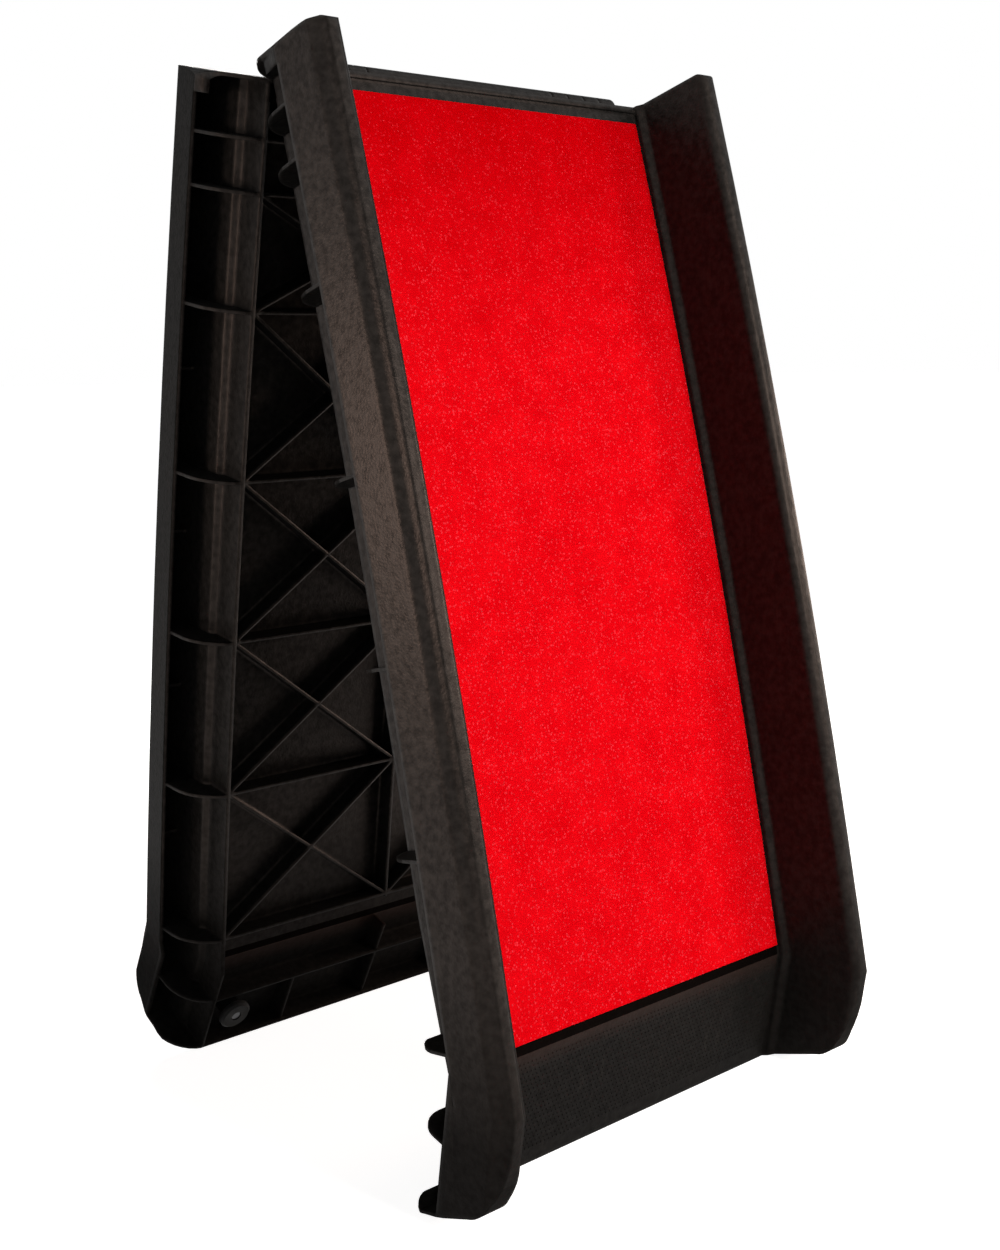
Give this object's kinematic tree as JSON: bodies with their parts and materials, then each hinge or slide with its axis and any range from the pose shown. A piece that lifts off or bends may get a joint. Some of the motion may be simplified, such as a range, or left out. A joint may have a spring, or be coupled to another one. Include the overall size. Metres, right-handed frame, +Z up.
{
  "type": "folding ramp",
  "caption": "Two-leaf folding ramp standing as an A-frame, with arched decks, red grit mats, hollow side rails, rib-stiffened undersides and bent end aprons.",
  "frame": {"origin": "on the floor, midway across the width and midway between the two aprons' outermost crests, with the ramp at its standing angle", "axes": "+Z up, +X across the ramp, +Y from the upper half's side to the lower half's side"},
  "size_m": [0.406, 0.4923, 0.8095],
  "materials": {
    "shell": "fine leather-grain texture, satin on the edges",
    "mat": "coarse grit",
    "steel": "zinc plated",
    "washer": "smooth",
    "foot": "matte"
  },
  "bodies": {
    "upper": {"upper_shell": "shell", "upper_grip_mat": "mat", "hinge_pin_left": "steel", "hinge_pin_right": "steel", "hinge_washers": "washer", "pin_retainers": "steel", "upper_foot_left": "foot", "upper_foot_right": "foot", "upper_foot_screws": "steel"},
    "lower": {"lower_shell": "shell", "lower_grip_mat": "mat", "lower_foot_left": "foot", "lower_foot_right": "foot", "lower_foot_screws": "steel"}
  },
  "joints": [
    {"name": "fold", "type": "hinge", "parent": "upper", "child": "lower", "pos_m": [0, 0.01958, 0.7895], "axis": [1, 0, 0], "range_deg": [-22.2, 157.8]}
  ]
}
